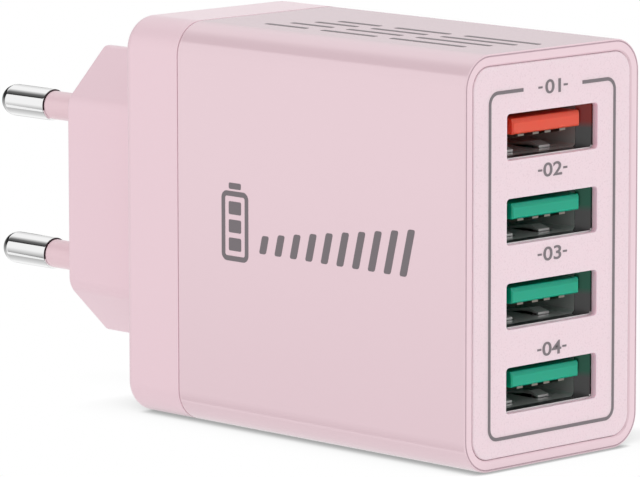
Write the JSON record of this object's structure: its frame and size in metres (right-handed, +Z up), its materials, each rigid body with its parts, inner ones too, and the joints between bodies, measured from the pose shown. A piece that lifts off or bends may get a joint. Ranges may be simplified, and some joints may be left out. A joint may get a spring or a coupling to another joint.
{
  "type": "multi-port usb wall charger",
  "caption": "Pale pink box-shaped mains charger with a column of USB-A sockets in the front panel and a two-pin round plug on an angled nose at the rear",
  "frame": {"origin": "middle of the whole length and width, on the surface the charger stands on", "axes": "+X the way the sockets face, -X the way the pins point, +Z up from the narrow base, -Y the long side seen in the picture"},
  "size_m": [0.0954, 0.0292, 0.0485],
  "materials": {
    "body_plastic": "satin moulded pale pink",
    "panel_plastic": "satin moulded pale pink, a shade lighter",
    "sleeve_plastic": "satin moulded pink",
    "pin_metal": "bright nickel plating",
    "shell_steel": "stamped and plated sheet",
    "orange_plastic": "moulded orange",
    "green_plastic": "moulded green",
    "contact_metal": "plated spring strip",
    "board_laminate": "lacquered laminate",
    "ferrite": "sintered dark grey",
    "bobbin_plastic": "moulded black",
    "winding_tape": "yellow tape",
    "can_sleeve": "shrunk black sleeve",
    "chip_epoxy": "moulded black",
    "disc_epoxy": "dipped blue",
    "fuse_ceramic": "coated green grey"
  },
  "bodies": {
    "root": {"main_housing": "body_plastic", "front_panel": "panel_plastic", "rear_cover": "body_plastic", "upper_pin": "pin_metal", "lower_pin": "pin_metal", "upper_pin_sleeve": "sleeve_plastic", "lower_pin_sleeve": "sleeve_plastic", "upper_pin_lead": "contact_metal", "lower_pin_lead": "contact_metal", "usb_board": "board_laminate", "power_board": "board_laminate", "transformer_core": "ferrite", "transformer_bobbin": "bobbin_plastic", "transformer_winding": "winding_tape", "bulk_capacitor_1": "can_sleeve", "bulk_capacitor_2": "can_sleeve", "output_capacitor_1": "can_sleeve", "output_capacitor_2": "can_sleeve", "choke": "ferrite", "y_capacitor": "disc_epoxy", "optocoupler": "chip_epoxy", "fuse_resistor": "fuse_ceramic", "bridge_rectifier": "chip_epoxy", "control_chip": "chip_epoxy", "fast_charge_chip": "chip_epoxy", "usb_shell_1": "shell_steel", "usb_insulator_1": "orange_plastic", "usb_contacts_1": "contact_metal", "usb_shell_2": "shell_steel", "usb_insulator_2": "green_plastic", "usb_contacts_2": "contact_metal", "usb_shell_3": "shell_steel", "usb_insulator_3": "green_plastic", "usb_contacts_3": "contact_metal", "usb_shell_4": "shell_steel", "usb_insulator_4": "green_plastic", "usb_contacts_4": "contact_metal"}
  },
  "joints": []
}
